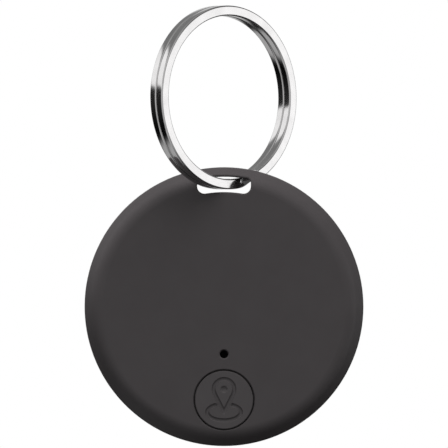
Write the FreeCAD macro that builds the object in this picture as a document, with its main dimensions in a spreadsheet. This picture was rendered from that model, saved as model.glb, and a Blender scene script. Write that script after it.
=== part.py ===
import FreeCAD, Part
import math
import os

import Sketcher

# Key finder tag on a 25 mm split ring.  The tag is modelled lying on its back in its own
# frame (X right, Y up the hanging tag, Z out of its front face) and every sub-part is then
# stood up by one Placement, so that the tag hangs below the ring with its front towards -Y.
# The origin is the inside top of the split ring, where a hook or another ring carries it.

os.makedirs("parts", exist_ok=True)
doc = FreeCAD.newDocument("finder_tag")

# ---------------------------------------------------------------- driving dimensions, mm
SIZES = {
    # casing
    "disc_dia": 38.0, "disc_thick": 7.6, "front_wall": 1.1, "rear_wall": 1.0,
    "shoulder_corner": 17.49, "shoulder_round": 1.9, "shoulder_foot": 1.39, "rim_round": 1.2,
    "rear_round": 1.7, "parting": -0.9, "cavity_dia": 34.4, "cavity_top": 13.3,
    # key ring slot in the upper rim
    "slot_width": 7.3, "slot_inner": 15.6, "slot_outer": 17.68, "slot_corner": 0.6, "slot_floor_corner": 1.0,
    "slot_edge": 0.2, "seam": 0.12,
    "flare_front": 2.85, "flare_rear": 0.65, "flare_ceiling": 18.52,
    "notch_half": 8.0, "notch_floor": 14.5,
    # sound hole and button
    "hole_dia": 1.13, "hole_drop": 6.43, "hole_chamfer": 0.15,
    "button_drop": 12.65, "button_dia": 7.94, "button_bore": 8.26, "button_lip": 8.84,
    "button_edge": 0.1, "lip_thick": 0.33, "lip_gap": 0.02, "button_travel": 0.25,
    # place-marker icon cut in the button
    "icon_round": 0.3, "icon_depth": 0.2, "icon_head": 1.4, "icon_head_up": 1.45, "icon_point": 3.1,
    "icon_eye_round": 0.75, "icon_oval_up": -1.65, "icon_oval_long": 2.28, "icon_oval_tall": 1.12,
    "icon_gap": 0.55,
    # circuit board and what stands on it
    "board_back": 0.9, "board_thick": 0.8, "board_dia": 33.6, "board_top": 12.9,
    "switch_side": 4.6, "switch_tall": 0.35, "switch_well": 3.5, "dome_dia": 3.2,
    "dome_thick": 0.1, "dome_ledge": 0.1, "dome_slope": 0.8, "plunger_dia": 1.6, "plunger_gap": 0.04,
    "switch_corner": 0.5, "peg_across": 12.6, "peg_drop": 7.4, "peg_radius": 0.6, "peg_hole": 0.7,
    # coin cell, 20 mm across and 3.2 mm thick
    "cell_dia": 20.0, "cell_thick": 3.2, "cell_up": 2.0, "cell_front": 0.6,
    "cell_wall": 0.3, "cap_dia": 17.6, "cell_lip": 0.25, "gasket_drop": 0.35, "cap_slope": 0.3,
    # contacts
    "leaf_long": 9.0, "leaf_wide": 2.2, "leaf_thick": 0.15, "dimple_radius": 1.6, "leaf_gap": 0.01,
    "side_foot": 2.6, "side_wide": 2.4, "side_tall": 2.7, "side_gap": 0.02,
    "joint_radius": 0.45, "joint_tall": 0.12, "joint_across": 3.9, "joint_up": 3.9,
    # inner frame and cover lip
    "frame_dia": 31.8, "frame_back": -1.0, "frame_top": 12.9, "pocket_dia": 20.5,
    "frame_gap_long": 3.4, "frame_gap_wide": 3.0, "frame_window_long": 13.0,
    "frame_window_wide": 3.4, "frame_window_drop": 13.6, "frame_window_corner": 1.0,
    "cover_lip_outer": 34.2, "cover_lip_inner": 32.4, "cover_lip_front": 0.3,
    # piezo sounder
    "sounder_drop": 2.0, "sounder_dia": 12.0, "spacer_inner": 10.4, "spacer_tall": 0.5,
    "plate_thick": 0.12, "ceramic_dia": 8.4, "ceramic_thick": 0.14, "spring_radius": 0.35,
    "plate_spring": 5.2, "ceramic_spring": 3.2, "mesh_radius": 0.74, "mesh_thick": 0.1,
    # split ring
    "ring_dia": 25.0, "wire_wide": 1.4, "wire_tall": 1.21, "coil_pitch": 1.25,
    "wire_round": 0.45, "crossover": 20.0, "crossover_end": 297.0, "ring_yaw": 42.5, "ring_ahead": 2.57,
    "ring_seat": 17.37,
}

# components on the board's front: length, width, height, x, y and corner radius, mm
CHIPS = {
    "radio_chip": (5.0, 5.0, 0.8, -9.6, 2.2, 0.0),
    "crystal": (3.2, 2.5, 0.7, -10.2, -3.0, 0.3),
    "chip_antenna": (5.2, 2.0, 0.85, 9.2, 9.6, 0.0),
    "inductor": (2.5, 2.5, 0.85, 9.6, -2.6, 0.4),
    "memory_chip": (3.0, 2.0, 0.6, -2.0, 7.6, 0.0),
}
# x, y and whether it stands along Y, for every small component of one size
CAPACITOR = (1.0, 0.5, 0.5)
CAPACITOR_SPOTS = [
    (-5.8, 3.6, True), (-5.8, 0.9, True), (-9.2, 6.2, False), (-12.6, -0.6, False),
    (6.3, 7.2, True), (11.9, -2.6, True),
]
RESISTOR = (1.0, 0.5, 0.35)
RESISTOR_SPOTS = [(2.6, 7.4, True), (4.0, 7.4, True), (9.4, 2.6, False), (9.4, 4.0, False)]

sheet = doc.addObject("Spreadsheet::Sheet", "Sizes")
for row, (alias, value) in enumerate(SIZES.items(), start=1):
    sheet.set("A%d" % row, alias)
    sheet.set("B%d" % row, str(value))
    sheet.setAlias("B%d" % row, alias)
doc.recompute()


def size(alias):
    """Read one driving dimension back from the sheet."""
    return float(sheet.get(alias))


# ---------------------------------------------------------------- placements
RING_INNER = size("ring_dia") / 2 - size("wire_wide")
RING_RISE = size("ring_seat") + RING_INNER
TAG_PLACE = FreeCAD.Placement(
    FreeCAD.Vector(0, size("ring_ahead"), -RING_RISE - RING_INNER),
    FreeCAD.Rotation(FreeCAD.Vector(1, 0, 0), 90),
)
FINISHED = []


def bind(obj, **expressions):
    """Bind properties of an object to formulas on the sheet."""
    for name, text in expressions.items():
        path = name.replace("__", ".")
        obj.setExpression(path, text)
    return obj


def S(text):
    """Write a formula with bare size names as one that points at the sheet."""
    out = []
    for token in text.split(" "):
        out.append("Sizes." + token if token in SIZES else token)
    return " ".join(out)


def finish(obj, node, place=TAG_PLACE):
    """Name a finished sub-part, stand it in its place and list it for export."""
    obj.Label = node
    obj.Placement = place
    FINISHED.append(obj)
    return obj


# ---------------------------------------------------------------- Part primitives and booleans
def cylinder(name, radius, height, x="0", y="0", z="0"):
    obj = doc.addObject("Part::Cylinder", name)
    bind(obj, Radius=S(radius), Height=S(height))
    bind(obj, Placement__Base__x=S(x), Placement__Base__y=S(y), Placement__Base__z=S(z))
    return obj


def cone(name, radius1, radius2, height, x="0", y="0", z="0"):
    obj = doc.addObject("Part::Cone", name)
    bind(obj, Radius1=S(radius1), Radius2=S(radius2), Height=S(height))
    bind(obj, Placement__Base__x=S(x), Placement__Base__y=S(y), Placement__Base__z=S(z))
    return obj


def box(name, length, width, height, x="0", y="0", z="0"):
    obj = doc.addObject("Part::Box", name)
    bind(obj, Length=S(length), Width=S(width), Height=S(height))
    bind(obj, Placement__Base__x=S(x), Placement__Base__y=S(y), Placement__Base__z=S(z))
    return obj


def cut(name, base, tool):
    obj = doc.addObject("Part::Cut", name)
    obj.Base = base
    obj.Tool = tool
    return obj


def common(name, base, tool):
    obj = doc.addObject("Part::Common", name)
    obj.Base = base
    obj.Tool = tool
    return obj


def fuse(name, shapes):
    obj = doc.addObject("Part::MultiFuse", name)
    obj.Shapes = shapes
    return obj


def chain_cut(name, base, tools):
    """Cut several tools from one base, one after another."""
    for number, tool in enumerate(tools, start=1):
        base = cut("%s_cut%d" % (name, number), base, tool)
    return base


def group(name, shapes):
    """Hold several separate solids of one kind as one sub-part."""
    obj = doc.addObject("Part::Compound", name)
    obj.Links = shapes
    return obj


def rounded(name, base, radius, wanted):
    """Fillet the edges of base that the test picks out."""
    doc.recompute()
    picked = []
    for number, edge in enumerate(base.Shape.Edges, start=1):
        if wanted(edge):
            picked.append((number, radius, radius))
    obj = doc.addObject("Part::Fillet", name)
    obj.Base = base
    obj.Edges = picked
    return obj


# ---------------------------------------------------------------- PartDesign helpers
def new_body(name):
    return doc.addObject("PartDesign::Body", name)


def origin_plane(body, role):
    for feature in body.Origin.OriginFeatures:
        if feature.Role == role:
            return feature
    raise RuntimeError("no origin plane " + role)


def sketch(body, name, role, lift="0"):
    """A sketch on one of the body's origin planes, lifted along that plane's normal."""
    obj = body.newObject("Sketcher::SketchObject", name)
    obj.AttachmentSupport = [(origin_plane(body, role), "")]
    obj.MapMode = "FlatFace"
    bind(obj, AttachmentOffset__Base__z=S(lift))
    return obj


def bound_constraint(sk, constraint, text):
    index = sk.addConstraint(constraint)
    sk.setExpression("Constraints[%d]" % index, S(text))


def outline(sk, corners):
    """Draw a closed polygon whose corners are held by formulas on the sheet."""
    count = len(corners)
    for number in range(count):
        here = 2 * math.pi * number / count
        there = 2 * math.pi * (number + 1) / count
        start = FreeCAD.Vector(math.cos(here), math.sin(here), 0)
        end = FreeCAD.Vector(math.cos(there), math.sin(there), 0)
        sk.addGeometry(Part.LineSegment(start, end), False)
    for number in range(count):
        sk.addConstraint(Sketcher.Constraint("Coincident", number, 2, (number + 1) % count, 1))
    for number, (across, up) in enumerate(corners):
        bound_constraint(sk, Sketcher.Constraint("DistanceX", -1, 1, number, 1, 1.0), across)
        bound_constraint(sk, Sketcher.Constraint("DistanceY", -1, 1, number, 1, 1.0), up)


def ring_line(sk, radius, x="0", y="0"):
    """Draw a circle whose radius and centre are held by formulas on the sheet."""
    number = sk.addGeometry(Part.Circle(FreeCAD.Vector(1, 1, 0), FreeCAD.Vector(0, 0, 1), 1.0), False)
    bound_constraint(sk, Sketcher.Constraint("DistanceX", -1, 1, number, 3, 1.0), x)
    bound_constraint(sk, Sketcher.Constraint("DistanceY", -1, 1, number, 3, 1.0), y)
    bound_constraint(sk, Sketcher.Constraint("Radius", number, 1.0), radius)


def turned(body, name, corners):
    """Revolve a half section, drawn as (radius, height) corners, about the body's Z axis."""
    sk = sketch(body, name + "_section", "XZ_Plane")
    outline(sk, corners)
    obj = body.newObject("PartDesign::Revolution", name)
    obj.Profile = sk
    obj.ReferenceAxis = (sk, ["V_Axis"])
    obj.Angle = 360
    doc.recompute()
    return obj


def pad(body, name, sk, length):
    obj = body.newObject("PartDesign::Pad", name)
    obj.Profile = sk
    bind(obj, Length=S(length))
    doc.recompute()
    return obj


def pocket(body, name, sk, length, up=False):
    """Cut a sketch into the body along one side, and make sure that it removes material."""
    before = body.Shape.Volume
    obj = body.newObject("PartDesign::Pocket", name)
    obj.Profile = sk
    bind(obj, Length=S(length))
    obj.Reversed = up
    doc.recompute()
    if body.Shape.Volume >= before - 1e-6:
        raise RuntimeError(name + " removed nothing")
    return obj


def round_circle(body, name, feature, radius_text, circle_radius, height):
    """Fillet the circular edge of the given radius at the given height."""
    doc.recompute()
    names = []
    for number, edge in enumerate(feature.Shape.Edges, start=1):
        curve = edge.Curve
        if isinstance(curve, Part.Circle) and abs(curve.Radius - circle_radius) < 0.01:
            if abs(curve.Center.z - height) < 0.01:
                names.append("Edge%d" % number)
    if not names:
        raise RuntimeError(name + " found no edge")
    obj = body.newObject("PartDesign::Fillet", name)
    obj.Base = (feature, names)
    bind(obj, Radius=S(radius_text))
    doc.recompute()
    return obj


HALF = size("disc_thick") / 2
RIM = size("disc_dia") / 2

# ---------------------------------------------------------------- casing
def slot_tools(prefix):
    """The hollow that the key ring runs through: a curved slot that flares to the rear."""
    outer = cylinder(prefix + "_slot_outer", "slot_outer", "disc_thick", z="0 - disc_thick / 2 + 0.5")
    inner = cylinder(prefix + "_slot_inner", "slot_inner", "disc_thick", z="0 - disc_thick / 2 + 0.5")
    band = cut(prefix + "_slot_band", outer, inner)
    window = box(prefix + "_slot_window", "slot_width", "disc_dia", "disc_thick * 2",
                 x="0 - slot_width / 2", z="0 - disc_thick")
    opening = common(prefix + "_slot_opening", band, window)
    opening = rounded(prefix + "_slot_top", opening, size("slot_corner"), upright_above)
    opening = rounded(prefix + "_slot_shape", opening, size("slot_floor_corner"), upright_below)

    wedge = doc.addObject("Part::Wedge", prefix + "_flare_wedge")
    bind(wedge, Xmin=S("0 - notch_half + 0.3"), Xmax=S("notch_half - 0.3"))
    bind(wedge, Ymin=S("flare_rear - 0.01"), Ymax=S("flare_front"))
    bind(wedge, Zmin=S("0 - disc_dia"), Zmax=S("0 - notch_floor"))
    bind(wedge, X2min=S("0 - slot_width / 2 + 0.02"), X2max=S("slot_width / 2 - 0.02"))
    bind(wedge, Z2min=S("0 - disc_dia"), Z2max=S("0.1 - slot_inner"))
    upward = FreeCAD.Rotation(FreeCAD.Vector(1, 0, 0), 90)
    wedge.Placement = FreeCAD.Placement(FreeCAD.Vector(0, 0, 0), upward)
    ceiling = cone(prefix + "_flare_ceiling", "flare_ceiling", "slot_outer - 0.03",
                   "flare_front - flare_rear + 0.01", z="flare_rear - 0.01")
    flare = common(prefix + "_flare", wedge, ceiling)
    return opening, flare


def upright(edge):
    """True for a straight edge along the tag's thickness."""
    if not isinstance(edge.Curve, Part.Line):
        return False
    return abs(abs(edge.Curve.Direction.z) - 1) < 1e-6


def upright_above(edge):
    """True for the slot's two upper corners."""
    return upright(edge) and edge.Vertexes[0].Point.y > size("slot_inner") + 1


def upright_below(edge):
    """True for the slot's two lower corners."""
    return upright(edge) and edge.Vertexes[0].Point.y < size("slot_inner") + 0.01


def middle(edge):
    """The point halfway along an edge."""
    return edge.valueAt((edge.FirstParameter + edge.LastParameter) / 2)


def slot_front(edge):
    """True for the edges where the slot breaks through the front of the shell."""
    spot = middle(edge)
    near = spot.y > size("slot_inner") - 0.7 and abs(spot.x) < size("slot_width") / 2 + 0.1
    return near and spot.z > size("flare_front") + 0.05 and not upright(edge)


def notch_tool(prefix):
    """The open notch behind the slot, where the ring swings out at the rear."""
    block = box(prefix + "_notch_block", "notch_half * 2", "disc_dia / 2", "disc_thick",
                x="0 - notch_half", y="notch_floor", z="flare_rear - disc_thick")
    return rounded(prefix + "_notch", block, 1.2, upright)


def front_shell():
    body = new_body("front_shell_body")
    turned(body, "front_blank", [
        ("0", "disc_thick / 2"),
        ("shoulder_corner", "disc_thick / 2"),
        ("disc_dia / 2", "shoulder_foot"),
        ("disc_dia / 2", "parting + seam"),
        ("disc_dia / 2 - seam", "parting"),
        ("0", "parting"),
    ])
    blank = body.Tip
    shoulder = round_circle(body, "front_shoulder", blank, "shoulder_round",
                            size("shoulder_corner"), HALF)
    round_circle(body, "front_rim", shoulder, "rim_round", RIM, size("shoulder_foot"))

    cavity = sketch(body, "front_cavity_outline", "XY_Plane", "parting")
    ring_line(cavity, "cavity_dia / 2")
    pocket(body, "front_cavity", cavity, "disc_thick / 2 - front_wall - parting", up=True)

    bore = sketch(body, "button_bore_outline", "XY_Plane", "disc_thick / 2")
    ring_line(bore, "button_bore / 2", y="0 - button_drop")
    pocket(body, "button_bore_cut", bore, "front_wall * 2")

    hole = sketch(body, "sound_hole_outline", "XY_Plane", "disc_thick / 2")
    ring_line(hole, "hole_dia / 2", y="0 - hole_drop")
    pocket(body, "sound_hole", hole, "front_wall * 2")

    bridge = box("slot_bridge", "notch_half * 2 + 5", "disc_dia / 2 - cavity_top",
                 "disc_thick / 2 - front_wall - parting + 0.4",
                 x="0 - notch_half - 2.5", y="cavity_top", z="parting")
    drum = cylinder("slot_bridge_drum", "cavity_dia / 2 + 0.3", "disc_thick", z="0 - disc_thick / 2")
    filled = fuse("front_filled", [body, common("slot_bridge_shape", bridge, drum)])

    opening, flare = slot_tools("front")
    countersink = cone("sound_hole_edge", "hole_dia / 2", "hole_dia / 2 + hole_chamfer", "hole_chamfer",
                       y="0 - hole_drop", z="disc_thick / 2 - hole_chamfer")
    bore_edge = cone("button_bore_edge", "button_bore / 2", "button_bore / 2 + seam", "seam",
                     y="0 - button_drop", z="disc_thick / 2 - seam")
    shell = chain_cut("front_shell", filled,
                      [opening, flare, notch_tool("front"), countersink, bore_edge])
    return finish(rounded("front_shell_soft", shell, size("slot_edge"), slot_front), "front_shell")


def rear_cover():
    body = new_body("rear_cover_body")
    turned(body, "cover_blank", [
        ("0", "0 - disc_thick / 2"),
        ("disc_dia / 2", "0 - disc_thick / 2"),
        ("disc_dia / 2", "parting - seam"),
        ("disc_dia / 2 - seam", "parting"),
        ("cover_lip_outer / 2", "parting"),
        ("cover_lip_outer / 2", "cover_lip_front"),
        ("cover_lip_inner / 2", "cover_lip_front"),
        ("cover_lip_inner / 2", "rear_wall - disc_thick / 2"),
        ("0", "rear_wall - disc_thick / 2"),
    ])
    round_circle(body, "cover_edge", body.Tip, "rear_round", RIM, -HALF)
    lip_cut = box("cover_lip_cut", "disc_dia", "disc_dia / 2", "disc_thick",
                  x="0 - disc_dia / 2", y="cavity_top - 0.3", z="parting")
    bridge = box("cover_bridge", "notch_half * 2 + 5", "notch_floor - cavity_top + 1",
                 "parting - rear_wall + disc_thick / 2 + 0.2",
                 x="0 - notch_half - 2.5", y="cavity_top", z="rear_wall - disc_thick / 2 - 0.2")
    drum = cylinder("cover_bridge_drum", "cover_lip_inner / 2 + 0.3", "disc_thick",
                    z="0 - disc_thick / 2")
    trimmed = cut("cover_trimmed", body, lip_cut)
    filled = fuse("cover_filled", [trimmed, common("cover_bridge_shape", bridge, drum)])
    return finish(chain_cut("rear_cover", filled, [notch_tool("cover")]), "rear_cover")


# ---------------------------------------------------------------- button and switch
def tube(start, end, radius):
    """A round bar from one point to another."""
    run = end - start
    return Part.makeCylinder(radius, run.Length, start, run)


def bent_tube(bend, radius, start, angle):
    """A round bar bent about the Z axis, from one direction through an angle in degrees."""
    ring = Part.Circle(FreeCAD.Vector(bend, 0, 0), FreeCAD.Vector(0, 1, 0), radius)
    solid = Part.Face(Part.Wire([ring.toShape()])).revolve(
        FreeCAD.Vector(0, 0, 0), FreeCAD.Vector(0, 0, 1), angle)
    solid.rotate(FreeCAD.Vector(0, 0, 0), FreeCAD.Vector(0, 0, 1), start)
    return solid


def marker_tool(radius):
    """A place-marker drop: a round head with two lines tangent to it that meet at a point."""
    head = size("icon_head")
    reach = size("icon_point")
    half_angle = math.acos(head / reach)
    opening = math.degrees(half_angle)
    tip = FreeCAD.Vector(0, -reach, 0)
    parts = [Part.makeSphere(radius, tip)]
    for side in (-1, 1):
        touch = FreeCAD.Vector(side * head * math.sin(half_angle), -head * math.cos(half_angle), 0)
        parts.append(tube(tip, touch, radius))
    return bent_tube(head, radius, opening - 90, 360 - 2 * opening).fuse(parts)


def oval_tool(radius, gap):
    """The upper sides and lower front of an oval that the marker stands on."""
    curve = Part.Ellipse(FreeCAD.Vector(0, 0, 0), size("icon_oval_long"), size("icon_oval_tall"))
    path = Part.Wire([Part.ArcOfEllipse(curve, math.pi / 2 + gap, 2.5 * math.pi - gap).toShape()])
    start = path.Edges[0].valueAt(path.Edges[0].FirstParameter)
    end = path.Edges[0].valueAt(path.Edges[0].LastParameter)
    along = path.Edges[0].tangentAt(path.Edges[0].FirstParameter)
    profile = Part.Wire([Part.Circle(start, along, radius).toShape()])
    ends = [Part.makeSphere(radius, start), Part.makeSphere(radius, end)]
    return path.makePipeShell([profile], True, False).fuse(ends)


def icon_tool():
    """A place-marker drop over an oval, as round-bottomed grooves in the button's face."""
    radius = size("icon_round")
    depth = size("icon_depth")
    marker = marker_tool(radius)
    marker.translate(FreeCAD.Vector(0, size("icon_head_up"), 0))
    oval = oval_tool(radius, size("icon_gap"))
    oval.translate(FreeCAD.Vector(0, size("icon_oval_up"), 0))
    eye_round = size("icon_eye_round")
    eye = Part.makeSphere(eye_round, FreeCAD.Vector(0, size("icon_head_up"), eye_round - radius))
    solid = Part.makeCompound([marker, oval, eye])
    solid.translate(FreeCAD.Vector(0, -size("button_drop"), HALF + radius - depth))
    obj = doc.addObject("Part::Feature", "icon_grooves")
    obj.Shape = solid
    return obj


def button_parts():
    body = new_body("button_cap_body")
    lip_front = "disc_thick / 2 - front_wall - lip_gap"
    turned(body, "button_blank", [
        ("0", "disc_thick / 2"),
        ("button_dia / 2 - button_edge", "disc_thick / 2"),
        ("button_dia / 2", "disc_thick / 2 - button_edge"),
        ("button_dia / 2", lip_front),
        ("button_lip / 2", lip_front),
        ("button_lip / 2", lip_front + " - lip_thick"),
        ("0", lip_front + " - lip_thick"),
    ])
    bind(body, Placement__Base__y=S("0 - button_drop"))
    finish(cut("button_cap", body, icon_tool()), "button_cap")

    board_front = "board_back + board_thick"
    under = "disc_thick / 2 - front_wall - lip_gap - lip_thick"
    tip = board_front + " + dome_thick + button_travel + plunger_gap"
    plunger = cylinder("plunger_post", "plunger_dia / 2", under + " - ( " + tip + " )",
                       y="0 - button_drop", z=tip)
    finish(group("switch_plunger_set", [plunger]), "switch_plunger")

    block = box("switch_block", "switch_side", "switch_side", "switch_tall",
                x="0 - switch_side / 2", y="0 - button_drop - switch_side / 2", z=board_front)
    well = cylinder("switch_well_cut", "switch_well / 2", "switch_tall * 2",
                    y="0 - button_drop", z=board_front)
    block = rounded("switch_block_edges", block, size("switch_corner"), upright)
    finish(cut("switch_body", block, well), "switch_body")

    flat = cylinder("dome_rim", "dome_dia / 2", "dome_thick / 2", y="0 - button_drop", z=board_front)
    crown = cone("dome_crown", "dome_dia / 2 - dome_ledge", "dome_dia / 2 - dome_ledge - dome_slope",
                 "dome_thick / 2",
                 y="0 - button_drop", z=board_front + " + dome_thick / 2")
    finish(fuse("switch_dome", [flat, crown]), "switch_dome")


# ---------------------------------------------------------------- circuit board
def circuit_board():
    body = new_body("circuit_board_body")
    face = sketch(body, "board_outline", "XY_Plane", "board_back")
    ring_line(face, "board_dia / 2")
    pad(body, "board_blank", face, "board_thick")
    edge = sketch(body, "board_top_cut", "XY_Plane", "board_back")
    outline(edge, [
        ("0 - board_dia", "board_top"),
        ("board_dia", "board_top"),
        ("board_dia", "board_dia"),
        ("0 - board_dia", "board_dia"),
    ])
    pocket(body, "board_flat", edge, "board_thick", up=True)
    pegs = sketch(body, "board_peg_holes", "XY_Plane", "board_back")
    for side in ("0 - peg_across", "peg_across"):
        ring_line(pegs, "peg_hole", x=side, y="0 - peg_drop")
    pocket(body, "board_pegs", pegs, "board_thick", up=True)
    finish(body, "circuit_board")


def chip(node):
    """A moulded component standing on the front of the board."""
    length, width, height, x, y, corner = CHIPS[node]
    block = box(node + "_block", str(length), str(width), str(height),
                x=str(x - length / 2), y=str(y - width / 2), z="board_back + board_thick")
    if corner:
        block = rounded(node + "_edges", block, corner, upright)
    return finish(group(node + "_set", [block]), node)


def chip_row(node, block_size, spots):
    """Several identical small components as one sub-part."""
    length, width, height = block_size
    blocks = []
    for number, (x, y, turn) in enumerate(spots, start=1):
        across, along = (width, length) if turn else (length, width)
        blocks.append(box("%s_%d" % (node, number), str(across), str(along), str(height),
                          x=str(x - across / 2), y=str(y - along / 2),
                          z="board_back + board_thick"))
    return finish(group(node + "_set", blocks), node)


def components():
    for node in CHIPS:
        chip(node)
    chip_row("capacitors", CAPACITOR, CAPACITOR_SPOTS)
    chip_row("resistors", RESISTOR, RESISTOR_SPOTS)


# ---------------------------------------------------------------- coin cell and its contacts
def coin_cell():
    rear = "cell_front - cell_thick"
    can_body = new_body("battery_can_body")
    turned(can_body, "can_section", [
        ("0", rear),
        ("cell_dia / 2", rear),
        ("cell_dia / 2", "cell_front - cell_lip"),
        ("cell_dia / 2 - cell_wall", "cell_front - cell_lip"),
        ("cell_dia / 2 - cell_wall", rear + " + cell_wall"),
        ("0", rear + " + cell_wall"),
    ])
    round_circle(can_body, "can_edge", can_body.Tip, "cell_wall * 0.9", size("cell_dia") / 2,
                 size("cell_front") - size("cell_thick"))
    bind(can_body, Placement__Base__y=S("cell_up"))
    finish(group("battery_can_set", [can_body]), "battery_can")

    gasket = new_body("battery_gasket_body")
    turned(gasket, "gasket_section", [
        ("cap_dia / 2", rear + " + cell_wall"),
        ("cell_dia / 2 - cell_wall", rear + " + cell_wall"),
        ("cell_dia / 2 - cell_wall", "cell_front - gasket_drop"),
        ("cap_dia / 2", "cell_front - gasket_drop"),
    ])
    bind(gasket, Placement__Base__y=S("cell_up"))
    finish(group("battery_gasket_set", [gasket]), "battery_gasket")

    cap = new_body("battery_cap_body")
    turned(cap, "cap_section", [
        ("0", rear + " + cell_wall"),
        ("cap_dia / 2", rear + " + cell_wall"),
        ("cap_dia / 2", "cell_front - cap_slope"),
        ("cap_dia / 2 - cap_slope", "cell_front"),
        ("0", "cell_front"),
    ])
    bind(cap, Placement__Base__y=S("cell_up"))
    finish(group("battery_cap_set", [cap]), "battery_cap")


def contacts():
    strip = box("negative_strip", "leaf_long", "leaf_wide", "leaf_thick", x="0 - leaf_long / 2",
                y="cell_up - leaf_wide / 2", z="board_back - leaf_thick")
    button = cylinder("negative_dimple", "dimple_radius", "board_back - cell_front - leaf_gap", y="cell_up",
                      z="cell_front + leaf_gap")
    finish(fuse("negative_contact", [strip, button]), "negative_contact")

    foot = box("positive_foot", "side_foot", "side_wide", "leaf_thick",
               x="cell_dia / 2 + side_gap + 0.03", y="cell_up - side_wide / 2",
               z="board_back - leaf_thick")
    riser = box("positive_riser", "leaf_thick", "side_wide", "side_tall", x="cell_dia / 2 + side_gap",
                y="cell_up - side_wide / 2", z="board_back - side_tall")
    finish(fuse("positive_contact", [foot, riser]), "positive_contact")

    dots = []
    for number, x in enumerate(("0 - joint_across", "joint_across"), start=1):
        dots.append(cylinder("solder_dot_%d" % number, "joint_radius", "joint_tall", x=x, y="joint_up",
                             z="board_back - joint_tall"))
    finish(group("solder_joints_set", dots), "solder_joints")


def inner_frame():
    body = new_body("inner_frame_body")
    face = sketch(body, "frame_outline", "XY_Plane", "frame_back")
    ring_line(face, "frame_dia / 2")
    ring_line(face, "pocket_dia / 2", y="cell_up")
    pad(body, "frame_blank", face, "board_back - leaf_gap - frame_back")
    edge = sketch(body, "frame_top_cut", "XY_Plane", "frame_back")
    outline(edge, [
        ("0 - frame_dia", "frame_top"),
        ("frame_dia", "frame_top"),
        ("frame_dia", "frame_dia"),
        ("0 - frame_dia", "frame_dia"),
    ])
    pocket(body, "frame_flat", edge, "board_back - frame_back", up=True)
    gap = box("frame_contact_gap", "frame_gap_long", "frame_gap_wide", "disc_thick",
              x="cell_dia / 2 - 0.3", y="cell_up - frame_gap_wide / 2", z="frame_back - 1")
    window = box("frame_window", "frame_window_long", "frame_window_wide", "disc_thick",
                 x="0 - frame_window_long / 2", y="0 - frame_window_drop", z="frame_back - 1")
    window = rounded("frame_window_edges", window, size("frame_window_corner"), upright)
    pegs = []
    for number, x in enumerate(("0 - peg_across", "peg_across"), start=1):
        pegs.append(cylinder("frame_peg_%d" % number, "peg_radius", "board_thick + 0.3", x=x,
                             y="0 - peg_drop", z="board_back - 0.2"))
    frame = chain_cut("frame", body, [gap, window])
    finish(fuse("inner_frame", [frame] + pegs), "inner_frame")


# ---------------------------------------------------------------- piezo sounder
def sounder():
    wall = "disc_thick / 2 - front_wall"
    drop = "0 - sounder_drop"
    outer = cylinder("spacer_outer", "sounder_dia / 2", "spacer_tall", y=drop, z=wall + " - spacer_tall")
    inner = cylinder("spacer_inner_cut", "spacer_inner / 2", "spacer_tall * 3", y=drop,
                     z=wall + " - spacer_tall * 2")
    finish(cut("buzzer_spacer", outer, inner), "buzzer_spacer")

    plate_back = wall + " - spacer_tall - plate_thick"
    plate = cylinder("plate_disc", "sounder_dia / 2", "plate_thick", y=drop, z=plate_back)
    finish(group("buzzer_plate_set", [plate]), "buzzer_plate")
    ceramic = cylinder("ceramic_disc", "ceramic_dia / 2", "ceramic_thick", y=drop,
                       z=plate_back + " - ceramic_thick")
    finish(group("buzzer_ceramic_set", [ceramic]), "buzzer_ceramic")

    springs = []
    reach = plate_back + " - ( board_back + board_thick )"
    springs.append(cylinder("buzzer_spring_1", "spring_radius", reach, x="plate_spring", y=drop,
                            z="board_back + board_thick"))
    springs.append(cylinder("buzzer_spring_2", "spring_radius", reach + " - ceramic_thick",
                            x="ceramic_spring", y=drop, z="board_back + board_thick"))
    finish(group("buzzer_contacts_set", springs), "buzzer_contacts")

    mesh = cylinder("mesh_disc", "mesh_radius", "mesh_thick", y="0 - hole_drop",
                    z=wall + " - mesh_thick")
    finish(group("acoustic_mesh_set", [mesh]), "acoustic_mesh")


# ---------------------------------------------------------------- split ring
def wire_section(level):
    """The wire's rounded rectangular section at one level, in the XZ plane at +X."""
    wide = size("wire_wide") / 2
    tall = size("wire_tall") / 2
    soft = size("wire_round")
    middle = size("ring_dia") / 2 - wide
    corners = [(wide, tall), (-wide, tall), (-wide, -tall), (wide, -tall)]
    edges = []
    points = []
    for x, z in corners:
        centre = FreeCAD.Vector(middle + x - math.copysign(soft, x), 0, level + z - math.copysign(soft, z))
        points.append((centre, math.atan2(math.copysign(1, z), math.copysign(1, x))))
    arcs = []
    for centre, mid in points:
        spots = []
        for turn in (-math.pi / 4, 0, math.pi / 4):
            spots.append(centre + FreeCAD.Vector(math.cos(mid + turn), 0, math.sin(mid + turn)) * soft)
        arcs.append(spots)
    for number, spots in enumerate(arcs):
        edges.append(Part.Arc(*spots).toShape())
        following = arcs[(number + 1) % len(arcs)]
        edges.append(Part.LineSegment(spots[2], following[0]).toShape())
    return Part.Wire(edges)


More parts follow.
